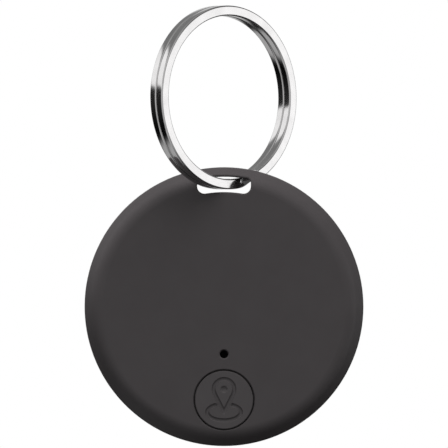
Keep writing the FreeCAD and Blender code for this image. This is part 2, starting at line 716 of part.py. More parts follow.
def split_ring():
    """One flat wire wound twice round, with a crossover where it steps from coil to coil."""
    pitch = size("coil_pitch")
    step = size("crossover")
    axis = FreeCAD.Vector(0, 0, 1)
    centre = FreeCAD.Vector(0, 0, 0)
    pieces = []
    for level in (-pitch / 2, pitch / 2):
        face = Part.Face(wire_section(level))
        pieces.append(face.revolve(centre, axis, 360 - step))
    sections = []
    stations = 12
    for number in range(stations + 1):
        share = number / stations
        smooth = share * share * (3 - 2 * share)
        wire = wire_section(pitch * (0.5 - smooth))
        wire.rotate(centre, axis, -step * (1 - share))
        sections.append(wire)
    pieces.append(Part.makeLoft(sections, True, False))
    solid = pieces[0].fuse(pieces[1:]).removeSplitter()
    obj = doc.addObject("Part::Feature", "split_ring")
    obj.Shape = solid
    yaw = FreeCAD.Rotation(FreeCAD.Vector(0, 0, 1), size("ring_yaw"))
    stand = FreeCAD.Rotation(FreeCAD.Vector(1, 0, 0), 90)
    spin = FreeCAD.Rotation(FreeCAD.Vector(0, 0, 1), size("crossover_end"))
    place = FreeCAD.Placement(FreeCAD.Vector(0, 0, -RING_INNER), yaw.multiply(stand).multiply(spin))
    finish(obj, "split_ring", place)


front_shell()
rear_cover()
button_parts()
circuit_board()
components()
coin_cell()
contacts()
inner_frame()
sounder()
split_ring()
doc.recompute()

# ---------------------------------------------------------------- check and export
for obj in doc.Objects:
    if "Invalid" in obj.State or "Error" in obj.State:
        raise RuntimeError("%s failed: %s" % (obj.Name, obj.State))
for obj in FINISHED:
    shape = obj.Shape
    if shape.isNull() or not shape.isValid():
        raise RuntimeError(obj.Label + " has no valid shape")
    shape.exportStep(os.path.join("parts", obj.Label + ".step"))
    print(obj.Label, len(shape.Solids), round(shape.Volume, 2))
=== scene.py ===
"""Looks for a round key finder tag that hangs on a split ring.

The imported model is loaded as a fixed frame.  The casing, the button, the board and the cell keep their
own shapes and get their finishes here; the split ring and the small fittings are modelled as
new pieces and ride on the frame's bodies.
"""
import logging
import math
from collections.abc import Iterable
from dataclasses import dataclass, field
from enum import Enum

import bmesh
import bpy
from mathutils import Matrix, Vector


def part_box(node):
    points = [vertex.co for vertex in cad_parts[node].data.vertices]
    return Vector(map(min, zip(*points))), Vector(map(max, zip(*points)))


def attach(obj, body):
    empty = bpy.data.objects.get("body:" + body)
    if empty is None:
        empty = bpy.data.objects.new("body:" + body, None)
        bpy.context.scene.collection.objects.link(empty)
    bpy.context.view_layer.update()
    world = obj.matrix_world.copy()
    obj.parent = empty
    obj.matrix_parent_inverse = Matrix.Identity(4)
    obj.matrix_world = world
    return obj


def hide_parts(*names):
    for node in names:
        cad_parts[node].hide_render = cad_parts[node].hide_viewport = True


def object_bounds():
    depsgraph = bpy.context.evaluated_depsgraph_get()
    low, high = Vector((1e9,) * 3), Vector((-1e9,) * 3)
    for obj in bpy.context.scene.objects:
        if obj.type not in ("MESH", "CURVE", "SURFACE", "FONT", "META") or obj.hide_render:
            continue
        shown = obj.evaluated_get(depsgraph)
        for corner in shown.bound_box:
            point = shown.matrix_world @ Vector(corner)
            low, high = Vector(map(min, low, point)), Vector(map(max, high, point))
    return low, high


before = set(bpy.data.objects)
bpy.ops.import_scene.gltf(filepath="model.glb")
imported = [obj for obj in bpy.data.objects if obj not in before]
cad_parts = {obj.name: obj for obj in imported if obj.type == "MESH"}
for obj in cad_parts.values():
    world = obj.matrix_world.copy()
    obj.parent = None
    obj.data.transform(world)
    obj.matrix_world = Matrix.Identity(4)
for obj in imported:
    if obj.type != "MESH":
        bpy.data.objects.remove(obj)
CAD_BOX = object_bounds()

LOG = logging.getLogger("finder_tag")
MM = 0.001
# Points of one mesh that are nearer to each other than this, in millimetres, are one point.
SAME_POINT = 1e-5
SAME_POINT_TURNED = 1e-4
# A point that is nearer to a cutting plane than this, in millimetres, lies on it.
ON_PLANE = 1e-6


# ---------------------------------------------------------------- places on the frame
@dataclass(frozen=True)
class TagFrame:
    """Where the tag hangs: X right, Y up the tag, Z out of its front face, in millimetres."""

    radius: float
    front: float
    rear: float
    centre: Vector

    @staticmethod
    def measured() -> "TagFrame":
        """Read the tag's place from the casing's own boxes.

        Returns:
            The frame of the hanging tag.
        """
        low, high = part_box("front_shell")
        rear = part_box("rear_cover")[1].y
        radius = (high.x - low.x) / 2
        centre = Vector(((low.x + high.x) / 2, (low.y + rear) / 2, low.z + radius))
        half = (rear - low.y) / 2
        return TagFrame(radius / MM, half / MM, -half / MM, centre)

    def matrix(self) -> Matrix:
        """The turn and move from the tag's own frame, in millimetres, to the row frame."""
        return Matrix.Translation(self.centre) @ Matrix.Rotation(math.pi / 2, 4, "X") @ Matrix.Scale(MM, 4)

    def spot(self, node: str) -> Vector:
        """The centre of a CAD node in the tag's own frame.

        Args:
            node: The CAD node's name.

        Returns:
            Its centre, in millimetres.
        """
        low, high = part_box(node)
        return self.matrix().inverted() @ ((low + high) / 2)

    def span(self, node: str) -> tuple[Vector, Vector]:
        """The lowest and highest corner of a CAD node in the tag's own frame.

        Args:
            node: The CAD node's name.

        Returns:
            The two corners, in millimetres.
        """
        inverse = self.matrix().inverted()
        ends = [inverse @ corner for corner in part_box(node)]
        low = Vector([min(a, b) for a, b in zip(*ends)])
        high = Vector([max(a, b) for a, b in zip(*ends)])
        return low, high


TAG = TagFrame.measured()


# ---------------------------------------------------------------- colour and nodes
def linear(code: str) -> tuple[float, float, float, float]:
    """Turn an sRGB hex colour into linear values.

    Args:
        code: The colour as "#rrggbb".

    Returns:
        Linear red, green and blue with full alpha.
    """
    def channel(text: str) -> float:
        """One channel's linear value from its two hex digits."""
        share = int(text, 16) / 255
        return share / 12.92 if share <= 0.04045 else ((share + 0.055) / 1.055) ** 2.4

    return (channel(code[1:3]), channel(code[3:5]), channel(code[5:7]), 1.0)


def set_inputs(tree: bpy.types.NodeTree, node: bpy.types.Node, inputs: dict) -> None:
    """Set or link a node's input sockets.

    Args:
        tree: The node tree.
        node: The node.
        inputs: Socket name or number to a value, or to an output socket to link from.
    """
    for name, value in inputs.items():
        if isinstance(value, bpy.types.NodeSocket):
            tree.links.new(value, node.inputs[name])
        else:
            node.inputs[name].default_value = value


def add_node(tree: bpy.types.NodeTree, kind: str, settings: dict | None = None,
             inputs: dict | None = None, stops: tuple[tuple[float, str], ...] = ()) -> bpy.types.Node:
    """Add one node with its settings and links.

    Args:
        tree: The node tree.
        kind: The node's type name.
        settings: Properties of the node itself.
        inputs: Socket name or number to a value, or to an output socket to link from.
        stops: The two positions of a colour ramp with their sRGB hex colours.

    Returns:
        The new node.
    """
    node = tree.nodes.new(kind)
    for name, value in (settings or {}).items():
        setattr(node, name, value)
    set_inputs(tree, node, inputs or {})
    if stops:
        for element, (place, code) in zip(node.color_ramp.elements, stops):
            element.position = place
            element.color = linear(code)
    return node


def blank(name: str) -> tuple[bpy.types.Material, bpy.types.NodeTree, bpy.types.Node]:
    """Start a node material.

    Args:
        name: The material's name.

    Returns:
        The material, its tree and its Principled shader.
    """
    material = bpy.data.materials.new(name)
    material.use_nodes = True
    tree = material.node_tree
    return material, tree, tree.nodes["Principled BSDF"]


# ---------------------------------------------------------------- finishes
@dataclass(frozen=True)
class Plastic:
    """A moulded or pressed body: a fine pitted grain, soft gloss and slightly uneven colour.

    The grain is that of the mould or powder, drawn a little coarse so that it shows, and the
    roughness runs from glossier below its own value to duller above it.
    """

    name: str
    deep: str
    pale: str
    roughness: float
    grain_mm: float = 0.14
    grain_depth_mm: float = 0.004
    level: float = 0.5
    cloud_mm: float = 3.5
    duller: float = 0.06
    glossier: float = 0.05

    def build(self) -> bpy.types.Material:
        """Make the material.

        Returns:
            The plastic, with its tint in slow clouds and its gloss broken up by the grain.
        """
        material, tree, shader = blank(self.name)
        place = add_node(tree, "ShaderNodeTexCoord").outputs["Object"]
        clouds = add_node(tree, "ShaderNodeTexNoise", inputs={
            "Vector": place, "Scale": 1 / (self.cloud_mm * MM), "Detail": 3.0})
        tint = add_node(tree, "ShaderNodeValToRGB", inputs={"Fac": clouds.outputs["Fac"]},
                        stops=((0.3, self.deep), (0.7, self.pale)))
        grain = add_node(tree, "ShaderNodeTexNoise", inputs={
            "Vector": place, "Scale": 1 / (self.grain_mm * MM), "Detail": 2.0}).outputs["Fac"]
        gloss = add_node(tree, "ShaderNodeMapRange", inputs={
            "Value": grain, "To Min": self.roughness - self.glossier,
            "To Max": self.roughness + self.duller})
        pits = add_node(tree, "ShaderNodeBump", inputs={
            "Height": grain, "Distance": self.grain_depth_mm * MM})
        set_inputs(tree, shader, {
            "Base Color": tint.outputs["Color"], "Roughness": gloss.outputs["Result"],
            "Specular IOR Level": self.level, "Normal": pits.outputs["Normal"]})
        return material


@dataclass(frozen=True)
class Metal:
    """A bare or plated metal with fine rub lines and faint unevenness in its gloss.

    A stretch below 1 on an axis draws the lines out along it, as rolling does.  The roughness
    runs from glossier to duller times its own value.
    """

    name: str
    deep: str
    pale: str
    roughness: float
    line_mm: float = 0.25
    line_depth_mm: float = 0.0006
    stretch: tuple[float, float, float] = (1.0, 1.0, 1.0)
    cloud_mm: float = 2.2
    duller: float = 1.3
    glossier: float = 0.75

    def build(self) -> bpy.types.Material:
        """Make the material.

        Returns:
            The metal, with rub lines that vary its gloss and its surface a little.
        """
        material, tree, shader = blank(self.name)
        place = add_node(tree, "ShaderNodeTexCoord").outputs["Object"]
        clouds = add_node(tree, "ShaderNodeTexNoise", inputs={
            "Vector": place, "Scale": 1 / (self.cloud_mm * MM), "Detail": 2.0})
        tint = add_node(tree, "ShaderNodeValToRGB", inputs={"Fac": clouds.outputs["Fac"]},
                        stops=((0.3, self.deep), (0.7, self.pale)))
        drawn = add_node(tree, "ShaderNodeMapping", inputs={"Vector": place, "Scale": self.stretch})
        lines = add_node(tree, "ShaderNodeTexNoise", inputs={
            "Vector": drawn.outputs["Vector"], "Scale": 1 / (self.line_mm * MM),
            "Detail": 3.0}).outputs["Fac"]
        gloss = add_node(tree, "ShaderNodeMapRange", inputs={
            "Value": lines, "To Min": self.roughness * self.glossier,
            "To Max": self.roughness * self.duller})
        rubs = add_node(tree, "ShaderNodeBump", inputs={
            "Height": lines, "Distance": self.line_depth_mm * MM})
        set_inputs(tree, shader, {
            "Base Color": tint.outputs["Color"], "Metallic": 1.0,
            "Roughness": gloss.outputs["Result"], "Normal": rubs.outputs["Normal"]})
        return material


@dataclass(frozen=True)
class BoardMask:
    """Glass-epoxy board under green solder mask: the copper below it shows as paler runs."""

    name: str = "solder_mask_on_glass_epoxy"
    bare: str = "#0d4a2c"
    over_copper: str = "#1c6b40"
    run_mm: float = 1.6
    weave_mm: float = 0.35
    relief_mm: float = 0.012

    def build(self) -> bpy.types.Material:
        """Make the material.

        Returns:
            The board's mask: green, smooth and lacquered, with raised runs below it.
        """
        material, tree, shader = blank(self.name)
        place = add_node(tree, "ShaderNodeTexCoord").outputs["Object"]
        flat = add_node(tree, "ShaderNodeMapping", inputs={
            "Vector": place, "Rotation": (math.pi / 2, 0.0, 0.0)})
        # Copper pours and runs are about 1.6 mm apart on a board of this size.
        runs = add_node(tree, "ShaderNodeTexBrick",
                        settings={"offset": 0.37, "squash": 1.6, "squash_frequency": 3},
                        inputs={"Vector": flat.outputs["Vector"], "Scale": 1 / (self.run_mm * MM),
                                "Mortar Size": 0.09, "Brick Width": 1.9, "Row Height": 0.7,
                                "Mortar Smooth": 0.25}).outputs["Fac"]
        tint = add_node(tree, "ShaderNodeValToRGB", inputs={"Fac": runs},
                        stops=((0.0, self.bare), (1.0, self.over_copper)))
        weave = add_node(tree, "ShaderNodeTexNoise", inputs={
            "Vector": place, "Scale": 1 / (self.weave_mm * MM), "Detail": 2.0})
        height = add_node(tree, "ShaderNodeMath", settings={"operation": "ADD"},
                          inputs={0: runs, 1: weave.outputs["Fac"]})
        relief = add_node(tree, "ShaderNodeBump", inputs={
            "Height": height.outputs[0], "Distance": self.relief_mm * MM})
        set_inputs(tree, shader, {
            "Base Color": tint.outputs["Color"], "Roughness": 0.32, "Coat Weight": 0.35,
            "Coat Roughness": 0.2, "Normal": relief.outputs["Normal"]})
        return material


@dataclass(frozen=True)
class WovenMesh:
    """A fine woven acoustic cloth: threads in two directions, with painted shade in the openings between
    them, which are coloured near black.

    Its threads are about 0.08 mm apart, and are drawn at twice that so that they show.
    """

    name: str = "woven_acoustic_cloth"
    opening: str = "#020202"
    thread: str = "#0d0d0e"
    thread_mm: float = 0.16
    thread_depth_mm: float = 0.03

    def build(self) -> bpy.types.Material:
        """Make the material.

        Returns:
            The cloth, almost black and without any gloss.
        """
        material, tree, shader = blank(self.name)
        place = add_node(tree, "ShaderNodeTexCoord").outputs["Object"]
        bands = []
        for axis in ("X", "Z"):
            wave = add_node(tree, "ShaderNodeTexWave", settings={"bands_direction": axis},
                            inputs={"Vector": place,
                                    "Scale": 1 / (self.thread_mm * MM) / (2 * math.pi)})
            bands.append(wave.outputs["Fac"])
        both = add_node(tree, "ShaderNodeMath", settings={"operation": "MULTIPLY"},
                        inputs={0: bands[0], 1: bands[1]}).outputs[0]
        # The openings are painted near black: painted shade where light falls through between the threads.
        tint = add_node(tree, "ShaderNodeValToRGB", inputs={"Fac": both},
                        stops=((0.0, self.opening), (1.0, self.thread)))
        weave = add_node(tree, "ShaderNodeBump", inputs={
            "Height": both, "Distance": self.thread_depth_mm * MM})
        set_inputs(tree, shader, {
            "Base Color": tint.outputs["Color"], "Roughness": 0.95, "Specular IOR Level": 0.15,
            "Normal": weave.outputs["Normal"]})
        return material


class Finish(Enum):
    """Every finish on the tag, each made once."""

    # ABS from an eroded mould: an even satin that spreads each light into a soft slope.
    CASING = Plastic("moulded_abs_satin_black", "#383536", "#3a3738", 0.58, level=0.3)
    # The same plastic from a smoother mould, so that its grooves catch a little more light.
    BUTTON = Plastic("moulded_abs_button_black", "#383536", "#3a3738", 0.48, level=0.38)
    # Polycarbonate, a little glossier than the casing and grey, so that the frame stands out.
    FRAME = Plastic("moulded_pc_frame_grey", "#4a4b4d", "#55565a", 0.45)
    # Nylon with glass fibre: deep black, with a low gloss that shows the switch's edges.
    SWITCH = Plastic("moulded_nylon_switch_black", "#17181a", "#202124", 0.4, 0.1)
    # Epoxy filled with silica powder: a dull, slightly sandy black.
    EPOXY = Plastic("moulded_epoxy_chip_black", "#111214", "#1b1c1e", 0.55, 0.09, 0.006)
    # A moulded nylon seal: a plain dark line round the cell, with little gloss.
    NYLON = Plastic("nylon_cell_seal", "#26272a", "#303236", 0.45)
    # Ceramic fired from powder: cream, with a dry, eggshell gloss.
    CERAMIC = Plastic("fired_ceramic_cream", "#d8cfb4", "#e6dfca", 0.4, 0.12, 0.003)
    # The same kind of ceramic with other oxides: tan.
    CAPACITOR = Plastic("fired_ceramic_tan", "#8f6f4d", "#a58360", 0.4, 0.1, 0.003)
    # Iron powder pressed and fired: a matt, grainy dark grey.
    FERRITE = Plastic("pressed_ferrite_grey", "#2c2d2f", "#3a3b3d", 0.6, 0.08, 0.006)
    # Foam with closed cells: soft black, with no gloss and visible cells.
    FOAM = Plastic("closed_cell_foam_black", "#101010", "#1d1d1d", 0.9, 0.2, 0.03)
    # White ink stamped by a pad: flat white, with edges of no thickness to speak of.
    INK = Plastic("pad_printed_white_ink", "#d9d9d6", "#e6e6e3", 0.6, 0.05, 0.002)
    # Steel wire, tumbled and nickel plated: bright bands with clear, slightly soft borders.
    NICKEL = Metal("polished_nickel_plate", "#c9c8c8", "#d4d3d3", 0.13, 0.5, 0.0003)
    # Rolled sheet, plated before it was drawn: fine lines that smear each reflection one way.
    STEEL = Metal("rolled_plated_steel", "#b9bab9", "#c9c9c6", 0.28, 0.1, 0.0008, (0.15, 1.0, 1.0))
    # Spring steel with a flash of gold: pale yellow and fairly bright.
    SPRING = Metal("gold_flashed_spring_steel", "#c9b37a", "#d8c48f", 0.25)
    # Rolled brass sheet: warm yellow, with the lines of the rolls.
    BRASS = Metal("rolled_brass_sheet", "#c59a4a", "#d9b163", 0.3, 0.12, 0.0008, (0.15, 1.0, 1.0))
    # Tin solder that has flowed: smooth, bright and a little wavy.
    SOLDER = Metal("reflowed_tin_solder", "#b4b6b8", "#cfd1d3", 0.22, 0.2, 0.002)
    # A thin layer of gold from a bath: it keeps the dull texture of the copper below it.
    GOLD = Metal("immersion_gold_pad", "#cfa95a", "#dcbd74", 0.3, 0.15, 0.0008)
    # Silver paste, printed and fired: whitish, with a frosted gloss.
    SILVER = Metal("printed_silver_band", "#b7b5b0", "#c8c6c0", 0.38, 0.12, 0.0015)
    # Green lacquer over copper and glass cloth: two greens under one clear gloss.
    BOARD = BoardMask()
    # Black cloth behind the sound hole: it swallows the light that falls into the hole.
    CLOTH = WovenMesh()

    def material(self) -> bpy.types.Material:
        """The finish's material, built the first time that it is asked for."""
        found = bpy.data.materials.get(self.value.name)
        return found or self.value.build()


# ---------------------------------------------------------------- pieces
def dress(piece: bpy.types.Object, finish: Finish) -> None:
    """Give an object one finish all over.

    Args:
        piece: The object, new or CAD.
        finish: Its finish.
    """
    piece.data.materials.clear()
    piece.data.materials.append(finish.material())
    LOG.info("%s: %s", piece.name, finish.value.name)


def soften(mesh: bmesh.types.BMesh, edges: Iterable[bmesh.types.BMEdge], width: float,
           segments: int = 2) -> None:
    """Round edges over.

    Args:
        mesh: The mesh that they belong to.
        edges: The edges, which may come more than once.
        width: How far they are rounded.
        segments: How many faces each rounded edge has.
    """
    once = list(dict.fromkeys(edges))
    bmesh.ops.bevel(mesh, geom=once, offset=width, segments=segments, affect="EDGES",
                    profile=0.5, material=-1)


def make_piece(name: str, mesh: bmesh.types.BMesh, place: Matrix, finish: Finish, body: str,
               flat_deg: float = 32.0) -> bpy.types.Object:
    """Turn a bmesh into a finished piece that rides on a body.

    Args:
        name: The piece's name.
        mesh: Its mesh, in the local frame that place maps to the row frame.
        place: The move to the row frame.
        finish: Its finish.
        body: The CAD body that it moves with.
        flat_deg: Edges sharper than this are shaded as edges.

    Returns:
        The new object.
    """
    bmesh.ops.remove_doubles(mesh, verts=mesh.verts, dist=SAME_POINT)
    bmesh.ops.transform(mesh, matrix=place, verts=mesh.verts)
    bmesh.ops.recalc_face_normals(mesh, faces=mesh.faces)
    for face in mesh.faces:
        face.smooth = True
    for edge in mesh.edges:
        edge.smooth = not edge.is_manifold or edge.calc_face_angle(0.0) < math.radians(flat_deg)
    data = bpy.data.meshes.new(name)
    mesh.to_mesh(data)
    mesh.free()
    piece = bpy.data.objects.new(name, data)
    bpy.context.scene.collection.objects.link(piece)
    shading = piece.modifiers.new("flat_faces_stay_flat", "WEIGHTED_NORMAL")
    shading.keep_sharp = True
    dress(piece, finish)
    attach(piece, body)
    LOG.info("%s: %d faces, moves with %s", name, len(data.polygons), body)
    return piece


def solids_of(node: str) -> list[tuple[Vector, Vector]]:
    """The boxes of a CAD node's separate solids.

    Args:
        node: The CAD node's name.

    Returns:
        The lowest and highest corner of each solid in the tag's own frame, in millimetres.
    """
    mesh = bmesh.new()
    mesh.from_mesh(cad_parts[node].data)
    bmesh.ops.remove_doubles(mesh, verts=mesh.verts, dist=SAME_POINT_TURNED * MM)
    bmesh.ops.transform(mesh, matrix=TAG.matrix().inverted(), verts=mesh.verts)
    seen = set()
    boxes = []
    for start in mesh.verts:
        if start in seen:
            continue
        seen.add(start)
        solid = [start]
        for vert in solid:
            fresh = [edge.other_vert(vert) for edge in vert.link_edges]
            fresh = [other for other in fresh if other not in seen]
            seen.update(fresh)
            solid.extend(fresh)
        low = Vector([min(vert.co[axis] for vert in solid) for axis in range(3)])
        high = Vector([max(vert.co[axis] for vert in solid) for axis in range(3)])
        boxes.append((low, high))
    mesh.free()
    return boxes


def lathe(mesh: bmesh.types.BMesh, outline: list[tuple[float, float]], steps: int,
          centre: Vector) -> None:
    """Turn an outline about the Z axis into a closed solid.

    Args:
        mesh: The mesh to add to.
        outline: (radius, height) points, the first and last on the axis.
        steps: How many sides the turning has.
        centre: The point that the axis goes through.
    """
    verts = [mesh.verts.new(centre + Vector((radius, 0, height))) for radius, height in outline]
    edges = [mesh.edges.new(pair) for pair in zip(verts, verts[1:])]
    bmesh.ops.spin(mesh, geom=verts + edges, cent=centre, axis=(0, 0, 1), angle=2 * math.pi,
                   steps=steps, use_merge=True, use_duplicate=False)
    bmesh.ops.remove_doubles(mesh, verts=mesh.verts, dist=SAME_POINT_TURNED)


def slab(mesh: bmesh.types.BMesh, size: tuple[float, float, float], place: Matrix,
         edge: float, segments: int = 2) -> None:
    """Add a block with softened edges.

    Args:
        mesh: The mesh to add to.
        size: Length, width and height.
        place: The move and turn of its centre.
        edge: How far its edges are rounded.
        segments: How many faces each rounded edge has.
    """
    made = bmesh.ops.create_cube(mesh, size=1.0, matrix=place @ Matrix.Diagonal((*size, 1.0)))
    soften(mesh, [side for vert in made["verts"] for side in vert.link_edges], edge, segments)


# ---------------------------------------------------------------- split ring
@dataclass
class SplitRing:
    """One flattened spring wire wound twice round, with both ends free.

    The wire crosses from its front coil to its rear one in a short stretch beside the disc.
    """

    wire_wide: float = 1.4
    wire_tall: float = 1.21
    pitch: float = 1.25
    corner: float = 0.25
    ring_dia: float = 25.0
    yaw: float = math.radians(42.5)
    crossover: float = math.radians(20.0)
    crossover_end: float = math.radians(297.0)
    coil_steps: int = 230
    cross_steps: int = 24
    corner_steps: int = 7
    end_round: float = 0.1
    edge_deg: float = 50.0

    def section(self, mesh: bmesh.types.BMesh) -> bmesh.types.BMFace:
        """Draw the wire's rounded section at the start of the first coil.

        Args:
            mesh: The mesh to draw it in.

        Returns:
            The section's face.
        """
        middle = self.ring_dia / 2 - self.wire_wide / 2
        place = (Matrix.Translation((middle, 0, self.pitch / 2)) @ Matrix.Rotation(math.pi / 2, 4, "X")
                 @ Matrix.Diagonal((self.wire_wide, self.wire_tall, 1.0, 1.0)))
        made = bmesh.ops.create_grid(mesh, x_segments=1, y_segments=1, size=0.5, matrix=place)
        face = made["verts"][0].link_faces[0]
        bmesh.ops.bevel(mesh, geom=list(face.verts), offset=self.corner,
                        segments=self.corner_steps, affect="VERTICES", profile=0.5, material=-1)
        return max(mesh.faces, key=lambda item: item.calc_area())

    def wind(self, mesh: bmesh.types.BMesh, ends: list, angle: float, steps: int,
             rise: float = 0.0) -> list:
        """Carry the open end of the wire on round the ring.

        Args:
            mesh: The wire's mesh.
            ends: The section's geometry at the open end.
            angle: How far to wind it.
            steps: In how many steps.
            rise: How far each step moves towards the front.

        Returns:
            The section's geometry at the new open end.
        """
        made = bmesh.ops.spin(mesh, geom=ends, cent=(0, 0, 0), axis=(0, 0, 1), angle=angle,
                              steps=steps, dvec=(0, 0, rise), use_duplicate=False)
        return made["geom_last"]

    def build(self) -> None:
        """Wind the wire and hang it in its place."""
        mesh = bmesh.new()
        end = [self.section(mesh)]
        coil = 2 * math.pi - self.crossover
        end = self.wind(mesh, end, coil, self.coil_steps)
        back = 0.0
        for number in range(1, self.cross_steps + 1):
            share = number / self.cross_steps
            further = self.pitch * share * share * (3 - 2 * share)
            end = self.wind(mesh, end, self.crossover / self.cross_steps, 1, back - further)
            back = further
        self.wind(mesh, end, coil, self.coil_steps)
        self.soften_ends(mesh)
        inner = (self.ring_dia / 2 - self.wire_wide) * MM
        place = (Matrix.Translation((0, 0, -inner)) @ Matrix.Rotation(self.yaw, 4, "Z")
                 @ Matrix.Rotation(math.pi / 2, 4, "X") @ Matrix.Rotation(self.crossover_end, 4, "Z")
                 @ Matrix.Scale(MM, 4))
        piece = make_piece("wound_split_ring", mesh, place, Finish.NICKEL, "key_ring",
                           self.edge_deg)
        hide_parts("split_ring")

    def soften_ends(self, mesh: bmesh.types.BMesh) -> None:
        """Round the rim of the wire's two cut ends.

        Args:
            mesh: The wire's mesh.
        """
        caps = [face for face in mesh.faces if len(face.verts) > 4]
        soften(mesh, [edge for face in caps for edge in face.edges], self.end_round)


# ---------------------------------------------------------------- casing, button, inside
@dataclass
class Casing:
    """The front shell, the rear cover and the button, as the CAD has them."""

    finishes: dict[str, Finish] = field(default_factory=lambda: {
        "front_shell": Finish.CASING, "rear_cover": Finish.CASING, "button_cap": Finish.BUTTON,
    })

    def build(self) -> None:
        """Dress each part of the casing."""
        for node, finish in self.finishes.items():
            dress(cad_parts[node], finish)


@dataclass
class Inside:
    """The board, the cell and the sounder, each CAD node with its own finish."""

    finishes: dict[str, Finish] = field(default_factory=lambda: {
        "switch_plunger": Finish.SWITCH, "switch_dome": Finish.SPRING, "switch_body": Finish.SWITCH,
        "circuit_board": Finish.BOARD, "radio_chip": Finish.EPOXY,
        "memory_chip": Finish.EPOXY, "crystal": Finish.STEEL, "chip_antenna": Finish.CERAMIC,
        "capacitors": Finish.CAPACITOR, "resistors": Finish.EPOXY, "inductor": Finish.FERRITE,
        "battery_can": Finish.STEEL, "battery_cap": Finish.STEEL, "battery_gasket": Finish.NYLON,
        "negative_contact": Finish.SPRING, "positive_contact": Finish.SPRING,
        "solder_joints": Finish.SOLDER, "inner_frame": Finish.FRAME, "buzzer_spacer": Finish.FOAM,
        "buzzer_plate": Finish.BRASS, "buzzer_ceramic": Finish.CERAMIC,
        "buzzer_contacts": Finish.SPRING, "acoustic_mesh": Finish.CLOTH,
    })

    def build(self) -> None:
        """Dress every inner node."""
        for node, finish in self.finishes.items():
            dress(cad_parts[node], finish)


